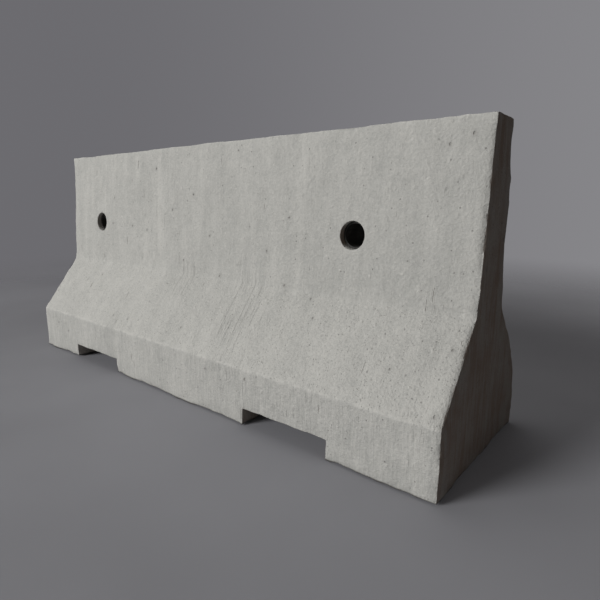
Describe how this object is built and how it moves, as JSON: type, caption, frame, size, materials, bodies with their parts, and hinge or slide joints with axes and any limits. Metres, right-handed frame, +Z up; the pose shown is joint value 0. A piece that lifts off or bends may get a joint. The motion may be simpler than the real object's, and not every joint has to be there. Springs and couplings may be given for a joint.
{
  "type": "concrete jersey barrier",
  "caption": "Short precast concrete traffic barrier: sloped symmetric profile, round lifting holes through the stem and fork slots through the base.",
  "frame": {"origin": "on the ground under the barrier's centre", "axes": "+X along the barrier, +Y across it from the front face to the back face, +Z up"},
  "size_m": [1.8288, 0.5078, 0.8128],
  "materials": {
    "concrete": "matte",
    "sleeve_plastic": "matte",
    "reinforcing_steel": "matte",
    "wheel_plastic": "matte"
  },
  "bodies": {
    "root": {"concrete_body": "concrete", "left_lifting_sleeve": "sleeve_plastic", "right_lifting_sleeve": "sleeve_plastic", "top_bar": "reinforcing_steel", "front_toe_bar": "reinforcing_steel", "front_slope_bar": "reinforcing_steel", "front_lower_stem_bar": "reinforcing_steel", "front_upper_stem_bar": "reinforcing_steel", "back_toe_bar": "reinforcing_steel", "back_slope_bar": "reinforcing_steel", "back_lower_stem_bar": "reinforcing_steel", "back_upper_stem_bar": "reinforcing_steel", "stirrup_1": "reinforcing_steel", "stirrup_2": "reinforcing_steel", "stirrup_3": "reinforcing_steel", "stirrup_4": "reinforcing_steel", "stirrup_5": "reinforcing_steel", "stirrup_6": "reinforcing_steel", "stirrup_7": "reinforcing_steel", "stirrup_8": "reinforcing_steel", "stirrup_9": "reinforcing_steel", "left_lifting_hairpin": "reinforcing_steel", "right_lifting_hairpin": "reinforcing_steel", "front_cover_wheels": "wheel_plastic", "back_cover_wheels": "wheel_plastic"}
  },
  "joints": []
}
